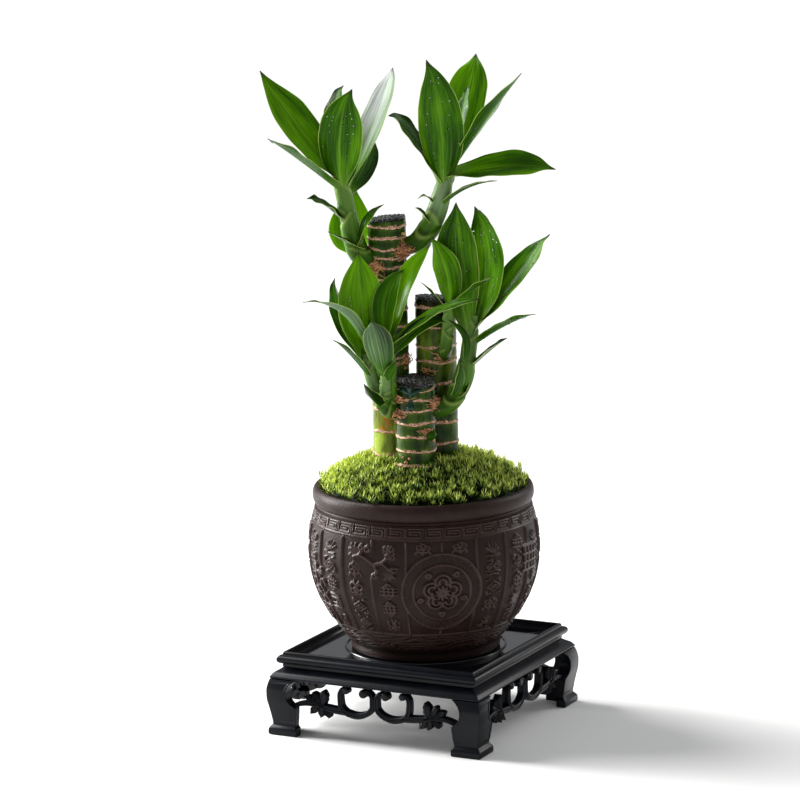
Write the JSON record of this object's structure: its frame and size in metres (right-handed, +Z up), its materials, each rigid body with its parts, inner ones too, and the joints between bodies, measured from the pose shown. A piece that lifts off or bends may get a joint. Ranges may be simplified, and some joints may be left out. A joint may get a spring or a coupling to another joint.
{
  "type": "potted lucky bamboo",
  "caption": "Lucky bamboo: cut canes with leafy side shoots in mossy soil, in a round dark clay pot with a rolled rim, on a square black stand with curved legs and fretted aprons.",
  "frame": {"origin": "on the surface the stand's feet rest on, in the middle of the whole seen from above", "axes": "+Z up; X and Y run along the stand's sides, -Y towards the side that is nearest the viewer on the left"},
  "size_m": [0.2121, 0.1724, 0.4902],
  "materials": {
    "black_lacquer": "gloss black lacquer",
    "brown_clay": "matt unglazed",
    "soil": "matt crumbly",
    "moss": "matt tufted",
    "cane": "satin bark with pale rings",
    "black_wax": "rough wax",
    "leaf": "satin waxy"
  },
  "bodies": {
    "root": {"stand_tray": "black_lacquer", "stand_rail": "black_lacquer", "stand_leg_front_right": "black_lacquer", "stand_leg_back_right": "black_lacquer", "stand_leg_back_left": "black_lacquer", "stand_leg_front_left": "black_lacquer", "stand_fret_front": "black_lacquer", "stand_fret_right": "black_lacquer", "stand_fret_back": "black_lacquer", "stand_fret_left": "black_lacquer", "pot": "brown_clay", "soil": "soil", "moss": "moss", "cane_tall": "cane", "cane_middle": "cane", "cane_short": "cane", "seal_tall": "black_wax", "seal_middle": "black_wax", "seal_short": "black_wax", "shoot_tall_left": "leaf", "shoot_tall_right": "leaf", "shoot_middle_front": "leaf", "shoot_short_right": "leaf", "shoot_short_left": "leaf"}
  },
  "joints": []
}
